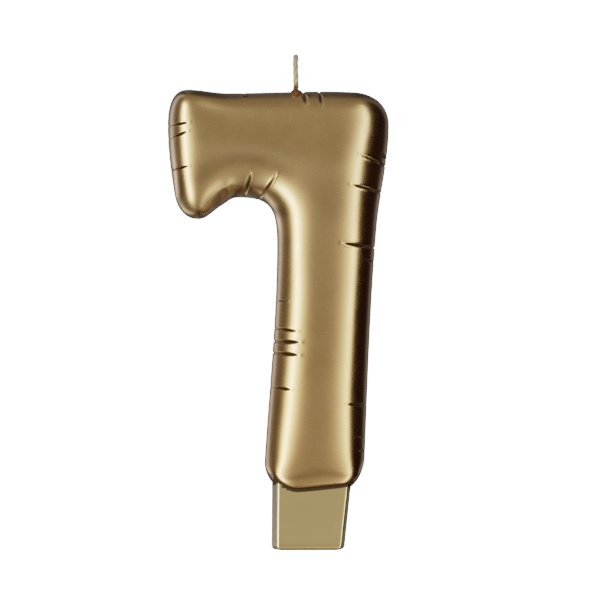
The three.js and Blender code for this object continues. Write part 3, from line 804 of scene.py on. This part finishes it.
def build_bead(material):
    """The bead of wax that has run from the wick over the front of the bar, laid on the figure's skin."""
    rings, sides = 26, 56
    middle_y = (COLLAR_WIDTH / 2 - COLLAR_RUN) / 2
    half_x, half_y = COLLAR_WIDTH / 2, (COLLAR_RUN + COLLAR_WIDTH / 2) / 2
    xs, ys, swell = [0.0], [0.0], [1.0]
    for i in range(1, rings + 1):
        r = math.sin(i / rings * math.pi / 2)
        for j in range(sides):
            a = 2 * math.pi * j / sides
            ragged = 1 + 0.05 * math.sin(3 * a + 0.6) + 0.03 * math.sin(5 * a + 2)
            xs.append(half_x * r * math.cos(a) * ragged)
            ys.append(half_y * r * math.sin(a) * ragged)
            swell.append(math.sqrt(max(1 - r * r, 0)))
    x = WICK_X + np.array(xs)
    y = middle_y + np.array(ys)
    skin = skin_height(x, y)
    climb = np.exp(-((y**2 + (x - WICK_X) ** 2) / BEAD_CLIMB_RADIUS**2))
    top = skin + np.array(swell) * BEAD_SWELL + climb * BEAD_CLIMB
    bottom = skin - BEAD_SINK
    points = [tuple(p) for p in np.stack([x, y, top], -1)] + [tuple(p) for p in np.stack([x, y, bottom], -1)]
    count = len(x)
    faces = []
    for base, flip in ((0, False), (count, True)):
        for j in range(sides):
            tri = (base, base + 1 + j, base + 1 + (j + 1) % sides)
            faces.append(tri[::-1] if flip else tri)
        for i in range(rings - 1):
            for j in range(sides):
                a = base + 1 + i * sides + j
                b = base + 1 + i * sides + (j + 1) % sides
                quad = (a, a + sides, b + sides, b)
                faces.append(quad[::-1] if flip else quad)
    rim_top = 1 + (rings - 1) * sides
    for j in range(sides):
        a, b = rim_top + j, rim_top + (j + 1) % sides
        faces.append((a, a + count, b + count, b))
    return mesh_object("wick_bead", np.array(points) * MM, faces, material, smooth_angle=80)


wick = build_wick(cotton)
bead = build_bead(wax)

for piece, node, slot in (
    (figure, "figure", "gold_lacquer"),
    (foot, "foot", "gold_lacquer"),
    (wick, "wick", "waxed_cotton"),
    (bead, "wick_collar", "amber_wax"),
):
    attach(piece, "root")
    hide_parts(node)

# Floor, light and camera

scene = bpy.context.scene
WHITE = 2.6  # the brightness that the picture shows as white
BACKDROP = 1.04  # how bright the camera sees the background, as a share of white


def floor_material():
    material, tree, shader = new_material("pale_floor")
    tint = ramp(tree, noise(tree, 6, 4), (0.95, 0.95, 0.95), (0.97, 0.97, 0.97))
    tree.links.new(tint, shader.inputs["Base Color"])
    shader.inputs["Roughness"].default_value = 0.9
    shader.inputs["Emission Color"].default_value = (1, 1, 1, 1)
    shader.inputs["Emission Strength"].default_value = WHITE * BACKDROP
    return material


def build_floor():
    radius, level, sides = 6.0, -0.00005, 96
    turns = np.linspace(0, 2 * math.pi, sides, endpoint=False)
    mesh = bpy.data.meshes.new("floor")
    mesh.from_pydata([(radius * math.cos(a), radius * math.sin(a), level) for a in turns], [], [tuple(range(sides))])
    mesh.materials.append(floor_material())
    floor = bpy.data.objects.new("floor", mesh)
    scene.collection.objects.link(floor)
    floor.visible_glossy = False
    floor.visible_diffuse = False


# Brightness of the studio round the candle: azimuth in degrees, 0 in front and growing to the right, and brightness
ROOM = [
    (-180, 0.21), (-165, 0.08), (-152, 0.13), (-137, 0.74), (-123, 0.27), (-111, 0.16), (-97, 0.14), (-86, 0.19),
    (-78, 0.28), (-68, 0.40), (-56, 0.60), (-30, 0.60), (-25, 0.52), (-19, 0.40), (-14, 0.31), (-6, 0.31),
    (0, 0.315), (9, 0.325), (14, 0.34), (18, 0.38), (22, 0.46), (27, 0.55), (34, 0.62), (44, 0.58), (52, 0.38),
    (58, 0.16), (64, 0.05), (70, 0.03), (84, 0.022), (118, 0.022), (128, 0.08), (136, 0.19), (149, 0.16),
    (166, 0.06), (180, 0.21),
]
# The brightness that the softboxes add, by azimuth too
SOFTBOXES = [
    (-180, 0.0), (-90, 0.0), (-84, 0.04), (-78, 0.10), (-72, 0.28), (-67, 0.70), (-61, 1.40), (-55, 2.50),
    (-49, 3.50), (-44, 2.60), (-39, 1.25), (-34, 0.60), (-29, 0.30), (-24, 0.14), (-18, 0.0), (17, 0.0),
    (22, 0.05), (27, 0.10), (32, 0.22), (36, 0.48), (40, 0.90), (44, 1.45), (48, 1.75), (51, 1.55),
    (55, 0.85), (59, 0.25), (63, 0.0), (180, 0.0),
]
# How the room's brightness changes with the height of the direction, the sine of its elevation
HEIGHTS = [
    (-1.0, 0.50), (-0.94, 0.85), (-0.80, 1.25), (-0.46, 1.30), (-0.34, 0.74), (-0.18, 0.76), (-0.10, 1.90),
    (-0.05, 1.08), (0.0, 1.0), (0.3, 0.98), (0.6, 1.05), (0.8, 1.08), (1.0, 0.75),
]


def float_curve(tree, source, points, low, high, peak):
    """A curve through points whose places run from low to high and whose values run from 0 to peak."""
    node = tree.nodes.new("ShaderNodeFloatCurve")
    curve = node.mapping.curves[0]
    places = [((x - low) / (high - low), y / peak) for x, y in points]
    curve.points[0].location, curve.points[-1].location = places[0], places[-1]
    for place in places[1:-1]:
        curve.points.new(*place)
    for point in curve.points:
        point.handle_type = "AUTO_CLAMPED"
    node.mapping.update()
    connect(tree, span(tree, source, low, high, 0.0, 1.0), node.inputs["Value"])
    return compute(tree, "MULTIPLY", node.outputs[0], peak)


def scaled(tree, colour, strength):
    node = tree.nodes.new("ShaderNodeVectorMath")
    node.operation = "SCALE"
    connect(tree, colour, node.inputs[0])
    connect(tree, strength, node.inputs["Scale"])
    return node.outputs[0]


def bearing(tree, right, forward):
    """The angle of a direction in degrees, 0 in front of the candle and growing to the right."""
    return compute(tree, "DEGREES", compute(tree, "ARCTAN2", right, forward))


OVERHEAD = 0.36
BEHIND_DIMMING = 0.25
SOFTBOX_LEAN = 0.3
SOFTBOX_REACH = (0.72, 0.46)  # up to which sine of the elevation they reach, in front of the candle and behind it
SOFTBOX_REACH_RIGHT = 0.36  # how much higher the right one reaches
DARK_TINT = (1.0, 0.34, 0.14)
WARM_TINT = (1.0, 0.86, 0.66)
BRIGHT_TINT = (1.0, 1.0, 0.92)
REAR_TINT = (1.0, 1.0, 1.12)
SOFTBOX_TINT = (1.0, 1.06, 0.98)


def build_world():
    """Soft light from a room and its softboxes, by direction. The camera itself sees plain white."""
    world = bpy.data.worlds.new("studio")
    scene.world = world
    world.use_nodes = True
    tree = world.node_tree
    tree.nodes.clear()
    coordinates = tree.nodes.new("ShaderNodeTexCoord")
    parts = tree.nodes.new("ShaderNodeSeparateXYZ")
    tree.links.new(coordinates.outputs["Generated"], parts.inputs[0])
    x, y, z = parts.outputs
    azimuth = bearing(tree, x, compute(tree, "MULTIPLY", y, -1.0))
    steep = compute(tree, "ABSOLUTE", z)

    room = float_curve(tree, azimuth, ROOM, -180, 180, peak=1.0)
    overhead = span(tree, z, 0.82, 0.98, 0.0, 1.0, True)
    room = compute(tree, "MULTIPLY", room, compute(tree, "SUBTRACT", 1.0, overhead))
    room = compute(tree, "ADD", room, compute(tree, "MULTIPLY", overhead, OVERHEAD))
    room = compute(tree, "MULTIPLY", room, float_curve(tree, z, HEIGHTS, -1, 1, peak=2.0))
    # high up behind the candle it is a little darker
    high_up = span(tree, z, 0.25, 0.6, 0.0, BEHIND_DIMMING)
    behind = compute(tree, "MULTIPLY", span(tree, y, 0.1, 0.4, 0.0, 1.0), high_up)
    room = compute(tree, "MULTIPLY", room, compute(tree, "SUBTRACT", 1.0, behind))
    # the softboxes lean back over the candle, and the one on the right reaches higher
    climb = compute(tree, "POWER", compute(tree, "MAXIMUM", z, 0.0), 4.0)
    lean = compute(tree, "MULTIPLY", climb, SOFTBOX_LEAN)
    turned = bearing(tree, x, compute(tree, "SUBTRACT", lean, y))
    boxes = float_curve(tree, turned, SOFTBOXES, -180, 180, peak=4.0)
    reach = span(tree, y, -0.4, 0.4, *SOFTBOX_REACH)
    reach = compute(tree, "ADD", reach, span(tree, x, 0.0, 0.3, 0.0, SOFTBOX_REACH_RIGHT))
    fade = span(tree, steep, compute(tree, "SUBTRACT", reach, 0.14), compute(tree, "ADD", reach, 0.08), 1.0, 0.0, True)
    boxes = compute(tree, "MULTIPLY", boxes, fade)
    # the room is warm, redder where it is dark and less so where it is bright or behind the candle
    tint = blend(tree, span(tree, room, 0.02, 0.16, 0.0, 1.0), DARK_TINT, WARM_TINT)
    tint = blend(tree, span(tree, room, 0.34, 0.58, 0.0, 1.0), tint, BRIGHT_TINT)
    tint = blend(tree, span(tree, y, 0.2, 0.7, 0.0, 1.0), tint, REAR_TINT)
    light = blend(tree, 1.0, scaled(tree, tint, room), scaled(tree, SOFTBOX_TINT, boxes), "ADD")

    lit = tree.nodes.new("ShaderNodeBackground")
    tree.links.new(light, lit.inputs["Color"])
    seen = tree.nodes.new("ShaderNodeBackground")
    seen.inputs["Color"].default_value = (1, 1, 1, 1)
    seen.inputs["Strength"].default_value = WHITE * BACKDROP
    path = tree.nodes.new("ShaderNodeLightPath")
    mix = tree.nodes.new("ShaderNodeMixShader")
    tree.links.new(path.outputs["Is Camera Ray"], mix.inputs["Fac"])
    tree.links.new(lit.outputs["Background"], mix.inputs[1])
    tree.links.new(seen.outputs["Background"], mix.inputs[2])
    output = tree.nodes.new("ShaderNodeOutputWorld")
    tree.links.new(mix.outputs["Shader"], output.inputs["Surface"])


CAMERA_AZIMUTH = -3.2
CAMERA_DISTANCE = 1.6
CAMERA_LENS = 338
CAMERA_SENSOR = 36
AIM = Vector((-2.33 * MM, 0, 70.84 * MM))


def build_camera():
    data = bpy.data.cameras.new("camera")
    data.lens = CAMERA_LENS
    data.sensor_width = CAMERA_SENSOR
    data.clip_start = 0.01
    camera = bpy.data.objects.new("camera", data)
    angle = math.radians(CAMERA_AZIMUTH)
    direction = Vector((math.sin(angle), -math.cos(angle), 0))
    camera.location = AIM + direction * CAMERA_DISTANCE
    camera.rotation_euler = direction.to_track_quat("Z", "Y").to_euler()
    scene.collection.objects.link(camera)
    scene.camera = camera


# The photograph's tone: brightness in the scene, and brightness in the picture
TONE = [
    (0.0, 0.0), (0.02, 0.010), (0.05, 0.036), (0.10, 0.090), (0.18, 0.18), (0.275, 0.282), (0.6, 0.56), (1.0, 0.72),
    (1.5, 0.82), (2.0, 0.89), (2.6, 1.0),
]


def set_tone():
    view = scene.view_settings
    view.view_transform = "Standard"
    view.look = "None"
    view.use_curve_mapping = True
    mapping = view.curve_mapping
    mapping.white_level = (WHITE, WHITE, WHITE)
    mapping.extend = "HORIZONTAL"
    curve = mapping.curves[3]  # the one for all three colours together
    curve.points[0].location = (0, 0)
    curve.points[-1].location = (1, 1)
    for x, y in TONE[1:-1]:
        curve.points.new(x / WHITE, y)
    for point in curve.points:
        point.handle_type = "AUTO_CLAMPED"
    mapping.update()


build_floor()
build_world()
build_camera()
set_tone()
